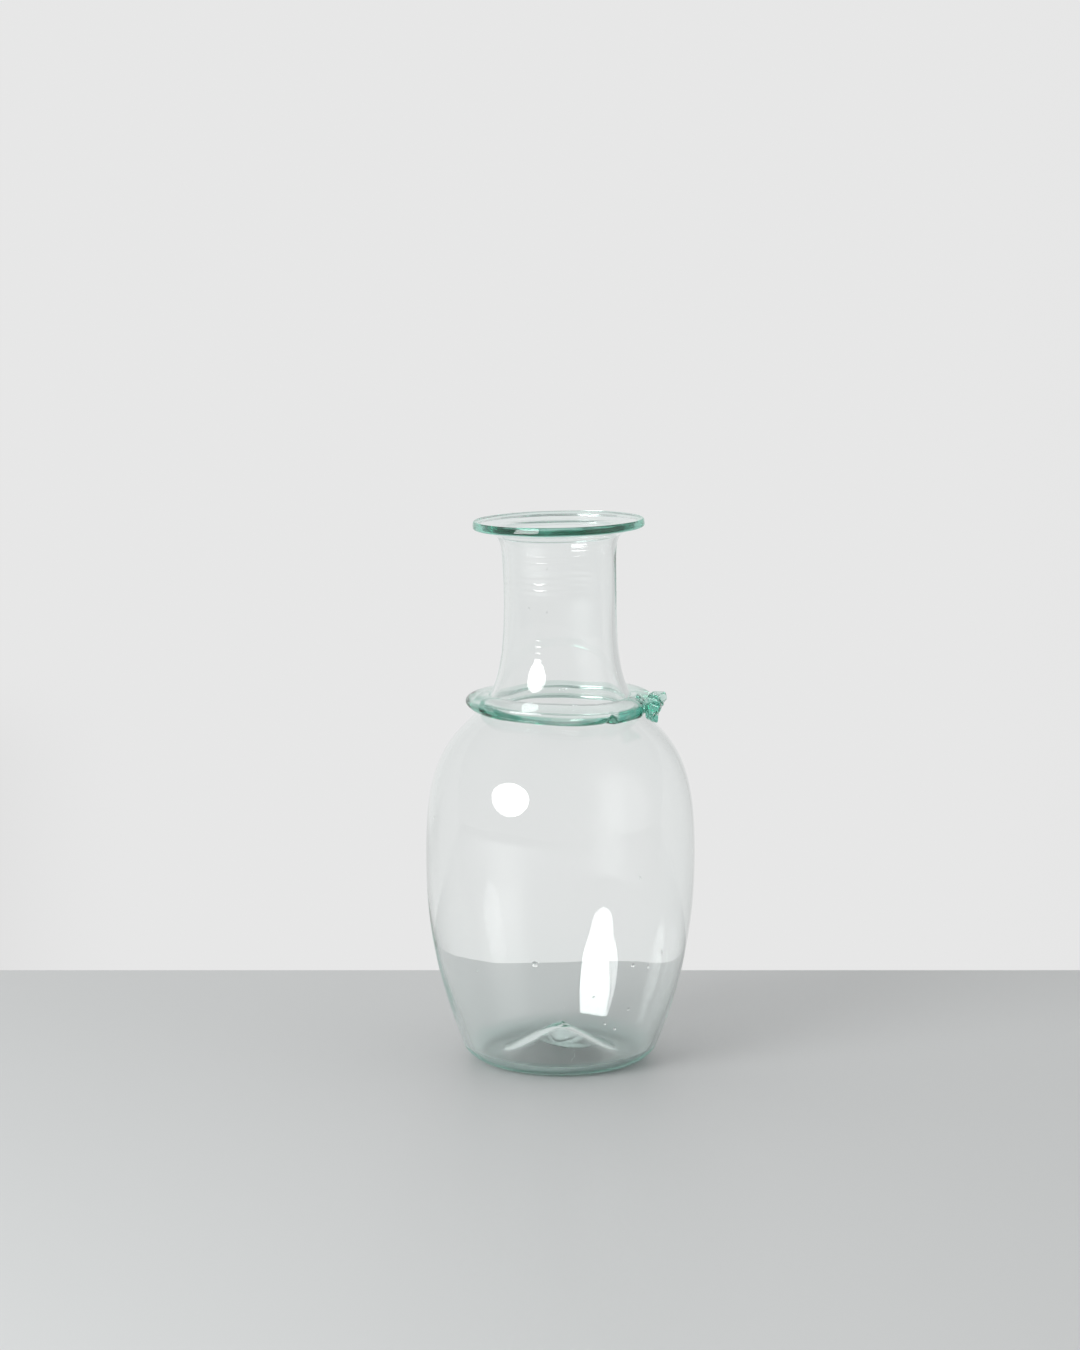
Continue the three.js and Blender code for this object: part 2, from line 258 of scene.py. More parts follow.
# How finely each piece is cut, in degrees round the axis or in rows, columns and steps
VESSEL_STEP = 2.5
LIP_COLUMNS = 256
LIP_ROWS = 45
LIP_CORNER = 0.6
LIP_SEAT_CORNER = 1.0
TRAIL_STEP = 0.5
TRAIL_ROWS = 72
KNOT_ROWS = 70
KNOT_COLUMNS = 120
WAD_ROWS = 14
WAD_COLUMNS = 96
GRAIN_ROWS = 10
GRAIN_COLUMNS = 14
FINE_STEPS = 20
SEAT_STEPS = 1000
SHOULDER_ROWS = 12
SCAR_STEPS = 500
TINY = 0.01


def heading(degrees):
    """Unit vector (out, up) at an angle above the horizontal."""
    angle = math.radians(degrees)
    return np.array([math.cos(angle), math.sin(angle)])


def smooth(share):
    """Smoothstep: 3s^2 - 2s^3, held between 0 and 1."""
    s = np.clip(share, 0.0, 1.0)
    return s * s * (3.0 - 2.0 * s)


def climb(value, start, end):
    """Smoothstep of a value, from 0 at the start to 1 at the end, which may be the lower of the two."""
    return smooth((value - start) / (end - start))


def lifted(floor, share):
    """A share from 0 to 1, made to run from a floor to 1."""
    return floor + (1 - floor) * share


def bump(value, centre, width):
    """Bell curve of height 1: e to the minus squared distance from the centre, in widths."""
    return np.exp(-(((value - centre) / width) ** 2))


def turn(value, centre):
    """Angle from a centre in degrees, brought into -180 to 180."""
    return (value - centre + 180.0) % 360.0 - 180.0


def about(value, centre, width):
    """Bell curve of height 1 about an angle, in degrees."""
    return bump(turn(value, centre), 0, width)


def waves(rows, azimuth, height=0.0):
    """Sum of waves round the axis: size times the sine of number times azimuth plus phase plus drift."""
    a = np.radians(azimuth)
    return sum(
        size * np.sin(number * a + phase + drift * height) for size, number, phase, drift in rows
    )


def bezier(corners, t):
    """Places on a cubic Bezier curve: its four corners weighted by the cubic Bernstein polynomials of t."""
    weights = (1 - t) ** 3, 3 * t * (1 - t) ** 2, 3 * t * t * (1 - t), t ** 3
    return sum(corner * weight for corner, weight in zip(corners, weights))


def stretch(start, start_run, start_handle, end, end_run, end_handle, walls, count, even=True):
    """One stretch of the outline, a cubic Bezier curve in rows evenly far apart, or else evenly in t.

    Each row holds radius, height, the outward normal's two parts, and the wall, which goes from
    the first to the second of `walls` by smoothstep."""
    corners = start, start + start_run * start_handle, end - end_run * end_handle, end
    t = np.linspace(0.0, 1.0, count)[:, None]
    if even:
        fine = np.linspace(0.0, 1.0, FINE_STEPS * count)
        steps = np.linalg.norm(np.diff(bezier(corners, fine[:, None]), axis=0), axis=1)
        t = np.interp(t * steps.sum(), np.append(0.0, np.cumsum(steps)), fine)
    legs = np.diff(np.stack(corners), axis=0)
    run = sum(leg * weight for leg, weight in zip(legs, ((1 - t) ** 2, 2 * t * (1 - t), t * t)))
    run /= np.linalg.norm(run, axis=1, keepdims=True)
    wall = walls[0] + (walls[1] - walls[0]) * smooth(t)
    return np.hstack([bezier(corners, t), run[:, 1:], -run[:, :1], wall])


OUT, UP = heading(0), heading(90)
apex = np.array([0.0, KICK_RISE])
foot_inner = np.array([FOOT_INNER_RADIUS, 0.0])
foot_outer = foot_inner + OUT * FOOT_WIDTH
heel = foot_outer + np.array([HEEL_SPREAD, HEEL_HEIGHT])
heel_run = heading(90 - HEEL_LEAN)
belly = np.array([BODY_RADIUS, heel[1] + LOWER_BODY_RISE])
shoulder = np.array([SHOULDER_RADIUS, belly[1] + UPPER_BODY_RISE])
shoulder_run = heading(180 - SHOULDER_SLOPE)
waist = np.array([NECK_RADIUS, shoulder[1] + NECK_ROOT_RISE])
coil_centre = np.array([MOUTH_RADIUS - LIP_COIL_RADIUS, waist[1] + NECK_RISE])
flare_run = heading(FLARE_ANGLE)
coil_seat = coil_centre - flare_run * (LIP_SEAT_DEPTH + FUSE_GAP)
flare_edge = coil_seat + heading(FLARE_ANGLE - 90) * FLARE_EDGE_WALL / 2

kick = stretch(
    apex, OUT, KICK_APEX_ROUND, foot_inner, OUT, KICK_SKIRT_ROUND,
    (KICK_WALL, KICK_WALL), count=24,
)
heel_turn = stretch(
    foot_outer, OUT, HEEL_ROUND_BELOW, heel, heel_run, HEEL_ROUND_ABOVE,
    (KICK_WALL, HEEL_WALL), count=18,
)
lower_body = stretch(
    heel, heel_run, LOWER_BODY_FULLNESS, belly, UP, BELLY_FULLNESS_BELOW,
    (HEEL_WALL, BELLY_WALL), count=38,
)
upper_body = stretch(
    belly, UP, BELLY_FULLNESS_ABOVE, shoulder, shoulder_run, SHOULDER_FULLNESS,
    (BELLY_WALL, SHOULDER_WALL), count=30,
)
neck_root_plan = (
    shoulder, shoulder_run, NECK_ROOT_SPREAD, waist, UP, NECK_ROOT_TAPER,
    (SHOULDER_WALL, NECK_WALL),
)
neck_root = stretch(*neck_root_plan, count=104)
flare = stretch(
    waist, UP, FLARE_NECK_ROUND, flare_edge, flare_run, FLARE_EDGE_ROUND,
    (NECK_WALL, FLARE_EDGE_WALL), count=84,
)
beside_edge = flare[-2:-1] * 2 * EDGE_CREASE + flare[-1:] * (1 - 2 * EDGE_CREASE)
outline = np.vstack([
    kick[1:], heel_turn, lower_body[1:], upper_body[1:], neck_root[1:],
    flare[1:-1], beside_edge, flare[-1:],
])

trail_seat = stretch(*neck_root_plan, count=SEAT_STEPS + 1, even=False)[round(TRAIL_SEAT * SEAT_STEPS)]
trail_centre = trail_seat[:2] + trail_seat[2:4] * TRAIL_PROUD
trail_radius = trail_centre[0] + TRAIL_HALF_WIDTH


def round_the_axis(radius, height, azimuth):
    """Points at a radius and height, azimuth degrees round from the front: (r sin a, -r cos a, z)."""
    radius, height, a = np.broadcast_arrays(radius, height, np.radians(azimuth))
    return np.stack([radius * np.sin(a), -radius * np.cos(a), height], axis=-1)


def lean_mouth(places):
    """Shears and shifts the mouth: by nothing at the neck's waist, and by all of it at the flare's edge."""
    share = climb(places[..., 2], waist[1], flare_edge[1])
    leaned = places.copy()
    leaned[..., 2] += share * math.tan(math.radians(MOUTH_LEAN)) * places[..., 0]
    leaned[..., 0] -= share * MOUTH_DRIFT
    return leaned


def ring_faces(rows, columns, closed):
    """Quads between neighbouring rows of a grid whose columns form rings, and its rows too if closed."""
    row = np.arange(rows if closed else rows - 1)[:, None]
    column = np.arange(columns)[None, :]
    here, after = row * columns, (row + 1) % rows * columns
    beside = (column + 1) % columns
    quads = np.stack([here + column, here + beside, after + beside, after + column], axis=-1)
    return quads.reshape(-1, 4)


def fan_faces(row_start, columns, pole, flip):
    """Triangles from one row of a grid to the single point at its pole."""
    column = np.arange(columns)
    beside = (column + 1) % columns
    pair = (beside, column) if flip else (column, beside)
    return np.stack([row_start + pair[0], row_start + pair[1], np.full(columns, pole)], axis=-1)


def closed_surface(grid, fused, deep, poles=None):
    """Points and faces of a closed surface: a grid that closes both ways, or one with a pole at each end.

    Faces are turned outwards by the sign of the volume that they hold. `fused` and `deep` are spread over
    the grid and go along with its points."""
    rows, columns = grid.shape[:2]
    points = grid.reshape(-1, 3)
    marks = [np.broadcast_to(mark, (rows, columns)).ravel() for mark in (fused, deep)]
    if poles is None:
        quads, triangles = ring_faces(rows, columns, True), np.zeros((0, 3), int)
    else:
        quads = ring_faces(rows, columns, False)
        triangles = np.vstack([
            fan_faces(0, columns, len(points), True),
            fan_faces((rows - 1) * columns, columns, len(points) + 1, False),
        ])
        points = np.vstack([points, *poles])
        marks = [np.append(mark, mark[[0, -1]]) for mark in marks]
    split = np.vstack([quads[:, [0, 1, 2]], quads[:, [0, 2, 3]], triangles])
    a, b, c = points[split[:, 0]], points[split[:, 1]], points[split[:, 2]]
    if np.einsum("ij,ij->i", a, np.cross(b, c)).sum() < 0:
        quads, triangles = quads[:, ::-1], triangles[:, ::-1]
    return points, quads, triangles, marks


def piece(name, node, slot, material, *surfaces):
    """One object from closed surfaces, smooth all over, riding on the root in place of a node.

    Its points carry two marks: `fused`, where it is melted on to its neighbour, and `deep`, its green,
    partly the glass's own and partly painted shade."""
    starts = np.cumsum([0] + [len(points) for points, *_ in surfaces])
    faces = []
    for start, (_, quads, triangles, _) in zip(starts, surfaces):
        faces += (quads + start).tolist() + (triangles + start).tolist()
    mesh = bpy.data.meshes.new(name)
    mesh.from_pydata((np.vstack([points for points, *_ in surfaces]) * MM).tolist(), [], faces)
    mesh.polygons.foreach_set("use_smooth", np.ones(len(faces), bool))
    mesh.materials.append(material)
    for k, mark in enumerate(("fused", "deep")):
        values = np.concatenate([marks[k] for *_, marks in surfaces]).astype(np.float32)
        mesh.attributes.new(mark, "FLOAT", "POINT").data.foreach_set("value", values)
    mesh.update()
    made = bpy.data.objects.new(name, mesh)
    bpy.context.scene.collection.objects.link(made)
    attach(made, "root")
    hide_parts(node)


# Shapes

def blown_waver(height, azimuth):
    """How far the blown wall strays outwards from a turned one.

    Slow waves go round it, drift with height and die out at the foot, under the trail and at the lip.
    Each band of rings on the neck is a sine of the height under a bell curve, strongest on the tool's side.
    On that side the neck swells a little above the trail. On the far side the body has a shallow flat."""
    free = climb(height, *OUTSIDE_STARTS) * climb(height, *OUTSIDE_ENDS)
    free = free * (1 - bump(height, trail_centre[1], TRAIL_CALM))
    rings = 0.0
    for middle, depth, spread, phase in TOOL_RINGS:
        sway = waves([(RING_SWAY, 2, phase, 0.0)], azimuth)
        beat = np.sin(2 * np.pi * (height - middle) / RING_PITCH + sway)
        rings = rings + depth * bump(height, middle, spread) * beat
    near, far = about(azimuth, TOOL_SIDE, RING_SPREAD), about(azimuth, FAR_SIDE, RING_SPREAD)
    swelling = SWELLING * bump(height, SWELLING_HEIGHT, SWELLING_RISE)
    flat = FLAT_DEPTH * climb(height, *FLAT_STARTS) * climb(height, *FLAT_ENDS)
    return (
        free * waves(OUTSIDE_WAVES, azimuth, height)
        + rings * (RING_FAINT + near + RING_FAINT * far)
        + swelling * about(azimuth, TOOL_SIDE, SWELLING_SPREAD)
        - flat * about(azimuth, FAR_SIDE, FLAT_SPREAD)
    )


def wall_waver(height, azimuth):
    """How much thicker the wall is than planned: shorter waves that cross each other and die out at the foot
    and the lip, less a bell curve of the height on both sides of the back, and another on the right."""
    aside = np.abs(turn(azimuth, 0))
    free = climb(height, *INSIDE_STARTS) * climb(height, *INSIDE_ENDS)
    back = climb(aside, *BACK_THIN_STARTS) * climb(aside, *BACK_THIN_ENDS)
    back = back * bump(height, *BACK_THIN_HEIGHT)
    right = about(azimuth, RIGHT_THIN_SIDE, RIGHT_THIN_SPREAD) * bump(height, *RIGHT_THIN_HEIGHT)
    return free * waves(INSIDE_WAVES, azimuth, height) - BACK_THINNING * back - RIGHT_THINNING * right


def grains(places):
    """Unmelted grains that stand on the outside of the wall, each an ellipsoid flattened along its normal.

    Rows of places are azimuth, height, half-length round, half-length up the wall."""
    wall = outline[len(kick):]
    wall = wall[np.argsort(wall[:, 1])]
    lat = np.linspace(0, np.pi, GRAIN_ROWS)[1:-1]
    lon = np.linspace(0, 2 * np.pi, GRAIN_COLUMNS, endpoint=False)
    lat, lon = np.meshgrid(lat, lon, indexing="ij")
    ball = np.stack([np.sin(lat) * np.cos(lon), np.sin(lat) * np.sin(lon), np.cos(lat)], axis=-1)
    beads = []
    for azimuth, height, half_round, half_up in places:
        r, nr, nz = (np.interp(height, wall[:, 1], wall[:, k]) for k in (0, 2, 3))
        thick = GRAIN_FLATNESS * min(half_round, half_up)
        proud = blown_waver(height, azimuth) + FUSE_GAP + thick
        centre = round_the_axis(r + nr * proud, height + nz * proud, azimuth)
        axes = np.stack([
            round_the_axis(half_round, 0.0, azimuth + 90),
            round_the_axis(nr * thick, nz * thick, azimuth),
            round_the_axis(-nz * half_up, nr * half_up, azimuth),
        ])
        poles = centre + axes[2], centre - axes[2]
        beads.append(closed_surface(ball @ axes + centre, 0.0, 0.0, poles))
    return beads


def vessel_surface():
    """The blown vessel: the outline turned round the axis, its outside moved along the normal by the waver,
    and its inside a wall further in, joined over the edge of the flare and closed at the top of the kick.

    It is melted on to the trail where the trail's free section would reach into it. It is greenest at the
    foot, less so up the body, inside and under the kick, and a little green again at the mouth. This green
    is partly the thick glass's own and partly painted shade, which tints the lower body's edges teal."""
    azimuth = np.arange(0, 360, VESSEL_STEP)[None, :]
    r, z, nr, nz, wall = (outline[:, k, None] for k in range(5))
    outer = blown_waver(z, azimuth)
    inner = outer - wall - wall_waver(z, azimuth)
    outside = round_the_axis(r + nr * outer, z + nz * outer, azimuth)
    inside = round_the_axis(r + nr * inner, z + nz * inner, azimuth)
    creases = np.array([EDGE_CREASE, 1 - EDGE_CREASE])[:, None, None]
    edge = outside[-1] + (inside[-1] - outside[-1]) * creases
    grid = lean_mouth(np.concatenate([outside, edge, inside[::-1]]))
    centre_r, centre_z, _ = trail_section(azimuth, 0.0)
    from_r, from_z = r - centre_r, z - centre_z
    _, _, free = trail_section(azimuth, np.degrees(np.arctan2(from_z, from_r)))
    fused = np.zeros(grid.shape[:2])
    fused[:len(outside)] = melted_on(azimuth, free - np.hypot(from_r, from_z))
    # Partly the glass's own green, partly painted shade that tints the lower body and its edges
    low = np.maximum(climb(z, *FOOT_GREEN_FADE), BODY_GREEN_AND_SHADE * climb(z, *BODY_GREEN_AND_SHADE_FADE))
    low = low * lifted(KICK_GREEN, climb(r, *KICK_GREEN_FADE))
    mouth = MOUTH_GREEN * climb(z, *MOUTH_GREEN_FADE)
    deep = np.concatenate([
        np.maximum(low, mouth), mouth[-1:], mouth[-1:], np.maximum(INSIDE_GREEN * low, mouth)[::-1],
    ])
    poles = np.array([0, 0, KICK_RISE]), np.array([0, 0, KICK_RISE + KICK_WALL])
    return closed_surface(grid, fused, deep, poles)


def lip_surface():
    """The lip coil: an oval section, |cos/radius|^p + |sin/height|^p = 1, cut flat at a seat that faces the
    edge of the flare, kept flush with the wall above by a soft minimum, and carried round the mouth.

    In front it is squared off by a higher power p and its face tilts. Its tilt and thickness waver on the
    way round. Its outer face is painted dark green as shade, darkest in front and fainter at the back."""
    azimuth = np.arange(0, 360, 360 / LIP_COLUMNS)[:, None]
    seat_edge = 90 + math.degrees(math.atan2(LIP_SEAT_DEPTH, FLARE_EDGE_WALL / 2))
    free_side = np.linspace(LIP_CORNER - seat_edge, seat_edge - LIP_CORNER, LIP_ROWS)
    seat = [seat_edge, seat_edge + LIP_SEAT_CORNER, 180, 360 - LIP_SEAT_CORNER - seat_edge]
    turned = np.radians(np.concatenate([[-seat_edge], free_side, seat]))[None, :]
    angle = turned + math.radians(FLARE_ANGLE)
    front = smooth(0.5 + LIP_FRONT_GAIN * np.cos(np.radians(azimuth)))
    squared = angle - np.radians(front * LIP_FACE_TILT + waves(LIP_TILT_WAVES, azimuth))
    outward = smooth(0.5 + LIP_SQUARE_GAIN * np.cos(squared))
    power = LIP_ROUND_POWER + (LIP_SQUARE_POWER - LIP_ROUND_POWER) * outward * front
    across = np.abs(np.cos(squared) / LIP_COIL_RADIUS) ** power
    free = (across + np.abs(np.sin(squared) / LIP_HALF_HEIGHT) ** power) ** (-1 / power)
    free = free * (1 + waves(LIP_SWELL_WAVES, azimuth) * smooth(np.cos(turned / 2)))
    flush = FLARE_EDGE_WALL / 2 / np.maximum(np.sin(turned), TINY)
    free = (free ** -LIP_BLEND_POWER + flush ** -LIP_BLEND_POWER) ** (-1 / LIP_BLEND_POWER)
    radius = np.minimum(free, LIP_SEAT_DEPTH / np.maximum(-np.cos(turned), TINY))
    ring = round_the_axis(
        coil_centre[0] + radius * np.cos(angle), coil_centre[1] + radius * np.sin(angle), azimuth
    )
    # Painted shade: dark green on the outer face, most in front, little inside and at the back
    outer_shade = smooth(LIP_SHADE_LEVEL + LIP_SHADE_GAIN * np.cos(squared))
    deep = lifted(LIP_INNER_SHADE, outer_shade) * lifted(LIP_BACK_SHADE, front)
    return closed_surface(lean_mouth(ring), 0.0, deep)


def reach_to_wall(centre_r, centre_z, angle):
    """Distance from a section's centre to the outside of the vessel along a ray, with the fuse gap kept:
    the nearest crossing of the ray with the chords of the outline."""
    chain = np.vstack([upper_body[-SHOULDER_ROWS:], neck_root[1:]])
    chain = chain[:, :2] + chain[:, 2:4] * FUSE_GAP
    start, leg = chain[:-1], np.diff(chain, axis=0)
    dr, dz = np.cos(angle)[..., None], np.sin(angle)[..., None]
    to_r, to_z = start[:, 0] - centre_r[..., None], start[:, 1] - centre_z[..., None]
    cross = dr * leg[:, 1] - dz * leg[:, 0]
    with np.errstate(divide="ignore", invalid="ignore"):
        distance = (to_r * leg[:, 1] - to_z * leg[:, 0]) / cross
        share = (to_r * dz - to_z * dr) / cross
    hit = (share >= 0) & (share <= 1) & (distance > 0)
    return np.where(hit, distance, np.inf).min(axis=-1)


def lap_share(azimuth, fades):
    """How far the trail's end lies over its start, 0 to 1: a smoothstep inwards from each end of the lap."""
    return climb(turn(azimuth, LAP_START), *fades[0]) * climb(turn(LAP_END, azimuth), *fades[1])


def trail_section(azimuth, tilt):
    """Centre and free outline of the trail's section: an oval that sags in front and wavers, thicker at the
    lap and thinner at the nick and the crease, which are bell curves of azimuth and tilt."""
    angle = np.radians(tilt)
    sag = SAG_DEPTH * about(azimuth, SAG_SIDE, SAG_SPREAD) + waves(SAG_WAVES, azimuth)
    half_width = TRAIL_HALF_WIDTH * (1 + waves(TRAIL_WIDTH_WAVES, azimuth))
    half_height = TRAIL_HALF_HEIGHT * (1 + waves(TRAIL_HEIGHT_WAVES, azimuth))
    half_height = half_height * (
        1 - sum(share * about(azimuth, side, spread) for share, side, spread in TRAIL_THIN_SIDES)
    )
    oval = half_width * half_height / np.hypot(half_height * np.cos(angle), half_width * np.sin(angle))
    lap = lap_share(azimuth, LAP_FADES) * about(tilt, LAP_TILT, LAP_TILT_SPREAD)
    crease = about(azimuth, CREASE_SIDE, CREASE_SPREAD) * about(tilt, CREASE_TILT, CREASE_TILT_SPREAD)
    nick_side = turn(azimuth, NICK_SIDE) + NICK_SLANT * turn(tilt, NICK_TILT)
    nick = bump(nick_side, 0, NICK_SPREAD) * about(tilt, NICK_TILT, NICK_TILT_SPREAD)
    free = oval + LAP_THICK * lap - NICK_DEPTH * nick - CREASE_DEPTH * crease
    return trail_centre[0] + SAG_OUT * sag, trail_centre[1] - SAG_DOWN * sag, free


def melted_on(azimuth, depth):
    """Where the trail is melted on to the shoulder, above a half, or only lies on it: by how deep its free
    section would reach into the wall, and along the front alone."""
    front = 0.5 + (TRAIL_MELTED - np.abs(turn(azimuth, 0))) / TRAIL_MELT_RUN
    return np.clip(np.minimum(0.5 + depth / TRAIL_MELT_DEPTH, front), 0, 1)


def trail_surface():
    """The trail: its section carried round the shoulder, cut flush with the wall beneath it.

    Its lower edge is painted dark green as shade. The painted shade reaches higher up at the lap and softly
    at both sides, and it is fainter at the back. One place in front is painted paler, as painted light."""
    azimuth = np.arange(0, 360, TRAIL_STEP)[:, None]
    tilt = np.linspace(-180, 180, TRAIL_ROWS, endpoint=False)[None, :]
    centre_r, centre_z, free = trail_section(azimuth, tilt)
    centre_r, centre_z, angle = np.broadcast_arrays(centre_r, centre_z, np.radians(tilt))
    wall = reach_to_wall(centre_r, centre_z, angle)
    section = np.minimum(free, wall)
    grid = round_the_axis(
        centre_r + section * np.cos(angle), centre_z + section * np.sin(angle), azimuth
    )
    # Painted shade: dark green low on the section, higher at the lap and the sides, less at the back;
    # painted light: a paler spot in front
    lapped = lap_share(azimuth, LAP_SHADE_FADES)
    sideways = SIDE_SHADE_RISE * bump(np.abs(turn(azimuth, 0)), 90, SIDE_SHADE_SPREAD)
    top = TRAIL_SHADE_TOP + LAP_SHADE_RISE * lapped + sideways
    painted_light = PAINTED_LIGHT_FRONT * about(azimuth, PAINTED_LIGHT_FRONT_SIDE, PAINTED_LIGHT_FRONT_SPREAD)
    deep = smooth((top - tilt) / (TRAIL_SHADE_RUN + sideways)) * climb(tilt, *TRAIL_SHADE_FOOT_FADE)
    deep = deep * (lifted(TRAIL_SHADE, lapped) - painted_light)
    deep = deep * lifted(TRAIL_BACK_SHADE, smooth(TRAIL_BACK_LEVEL + np.cos(np.radians(azimuth))))
    return closed_surface(grid, melted_on(azimuth, free - wall), deep)


def knot_surface():
    """The pinched tag: a pleated band carried out from the trail along its radius, drawn in to a waist where
    the tool closed on it. Its height and its pleats, sines of the height, grow both ways from the waist.
    The lower half reaches less far out than the upper, and the inner end lies on the trail."""
    along = np.linspace(0, 1, KNOT_ROWS)[:, None]
    around = np.linspace(0, 2 * np.pi, KNOT_COLUMNS, endpoint=False)[None, :]
    share, side = np.sin(around) / 2, np.cos(around)
    out = KNOT_RUN * along - KNOT_INWARDS
    opened = smooth(np.abs(out) / KNOT_WAIST_RUN)
    into_end = (np.abs(along - 0.5) - (0.5 - KNOT_END_ROUND)) / KNOT_END_ROUND
    closing = np.sqrt(1 - np.clip(into_end, 0, 1) ** 2)
    scallop = np.cos(2 * np.pi * KNOT_SCALLOPS * share)
    lobe = 1 - KNOT_UNDERCUT * smooth(0.5 - share) - KNOT_SCALLOP_DEPTH * (1 + scallop) / 2
    reach = trail_radius + KNOT_OUTWARDS + np.where(out > 0, out * lobe, out)
    pleat_depth = KNOT_PLEAT_SHUT + (KNOT_PLEAT_OPEN - KNOT_PLEAT_SHUT) * opened
    pleat_phase = KNOT_PLEAT_PHASE + KNOT_PLEAT_TWIST * out
    pleat = pleat_depth * np.sin(2 * np.pi * KNOT_PLEATS * share + pleat_phase)
    thick = KNOT_THICKNESS + KNOT_THICKNESS_WAVER * scallop
    thick = thick * (KNOT_SHUT_THICKNESS + KNOT_OPEN_THICKENING * opened)
    across = pleat + side * np.abs(side) ** KNOT_BLUNTNESS * thick * closing
    height = lifted(KNOT_WAIST, opened) * KNOT_HEIGHT * lifted(KNOT_END_HEIGHT, closing)
    up = trail_centre[1] + KNOT_RAISE + share * height
    azimuth = KNOT_AZIMUTH + np.degrees(across / trail_radius)
    centre_r, centre_z, _ = trail_section(azimuth, 0.0)
    from_r, from_z = reach - centre_r, up - centre_z
    tilt = np.arctan2(from_z, from_r)
    _, _, trail = trail_section(azimuth, np.degrees(tilt))
    clear = np.maximum(np.hypot(from_r, from_z), trail + 2 * FUSE_GAP)
    grid = round_the_axis(centre_r + clear * np.cos(tilt), centre_z + clear * np.sin(tilt), azimuth)
    # Partly the tag's own green, partly painted shade, darker low down
    deep = smooth(KNOT_GREEN_AND_SHADE_LEVEL - KNOT_GREEN_AND_SHADE_PALING * share) * climb(out, *KNOT_GREEN_AND_SHADE_FADE)
    return closed_surface(grid, 0.0, deep, (grid[0].mean(axis=0), grid[-1].mean(axis=0)))


def wad_surface():
    """The scar under the kick: its top follows the underside of the kick, and its flat face slants down to
    the right and runs out where it meets the kick."""
    azimuth = np.arange(0, 360, 360 / WAD_COLUMNS)[None, :]
    slant = math.tan(math.radians(WAD_SLANT)) * np.sin(np.radians(azimuth))
    face_height = KICK_RISE - WAD_DEPTH
    reach = np.linspace(0, FOOT_INNER_RADIUS, SCAR_STEPS)[:, None]
    room = np.interp(reach, kick[:, 0], kick[:, 1]) - (face_height - slant * reach)
    edge = reach[np.argmax(room < 2 * FUSE_GAP, axis=0), 0]
    radius = np.linspace(0, 1, WAD_ROWS)[1:, None] * edge
    top = round_the_axis(radius, np.interp(radius, kick[:, 0], kick[:, 1]) - FUSE_GAP, azimuth)
    face = round_the_axis(radius, face_height - slant * radius, azimuth)
    poles = np.array([0, 0, KICK_RISE - FUSE_GAP]), np.array([0, 0, face_height])
    return closed_surface(np.concatenate([top, face[::-1]]), 0.0, WAD_GREEN, poles)


# Materials

GLASS_IOR = 1.5
RIPPLE_SCALE = 70.0
RIPPLE_DETAIL = 1.0
PATCH_SCALE = 160.0
PATCH_DETAIL = 2.0
PATCH_LEAST = 0.55
PATCH_RANGE = 0.9
RUBBED_HEIGHT = 0.8 * MM
RUBBED_DULL = 0.3
FUSED_ABOVE = 0.5
BLOWN_RIPPLE = 0.015 * MM
WOUND_RIPPLE = 0.03 * MM
SCAR_FROST = 0.3
WHITE = (1.0, 1.0, 1.0, 1.0)


class Wire:
    """A node's socket as a value: arithmetic on it adds Math nodes, and `node` adds any other node."""

    def __init__(self, tree, socket):
        self.tree, self.socket = tree, socket

    def node(self, kind, settings, inputs, output=0):
        """Adds a node of a kind, sets its settings and then its inputs, and gives one of its outputs."""
        made = self.tree.nodes.new(kind)
        for name, value in settings.items():
            setattr(made, name, value)
        for name, value in inputs.items():
            if isinstance(value, Wire):
                self.tree.links.new(value.socket, made.inputs[name])
            else:
                made.inputs[name].default_value = value
        return Wire(self.tree, made.outputs[output])

    def math(self, operation, first, second):
        """Adds a Math node of two values."""
        return self.node("ShaderNodeMath", {"operation": operation}, {0: first, 1: second})

    def __add__(self, other):
        return self.math("ADD", self, other)

    def __radd__(self, other):
        return self.math("ADD", other, self)

    def __sub__(self, other):
        return self.math("SUBTRACT", self, other)

    def __rsub__(self, other):
        return self.math("SUBTRACT", other, self)

    def __mul__(self, other):
        return self.math("MULTIPLY", self, other)

    def __rmul__(self, other):
        return self.math("MULTIPLY", other, self)

    def ramp(self, low, high, floor, top):
        """Smoothstep of this value, from a floor where it is low to a top where it is high."""
        return self.node("ShaderNodeMapRange", {"interpolation_type": "SMOOTHSTEP"}, {
            "Value": self, "From Min": low, "From Max": high, "To Min": floor, "To Max": top,
        })


def close_tree(tree, kind, **ends):
    """Adds an output node and links its sockets to the wires that are named for them."""
    output = tree.nodes.new(kind)
    for name, wire in ends.items():
        tree.links.new(wire.socket, output.inputs[name])


def new_finish(name):
    """An empty node material and the wire of its own coordinates."""
    finish = bpy.data.materials.new(name)
    finish.use_nodes = True
    finish.node_tree.nodes.clear()
    place = Wire(finish.node_tree, None).node("ShaderNodeTexCoord", {}, {}, "Object")
    return finish, place


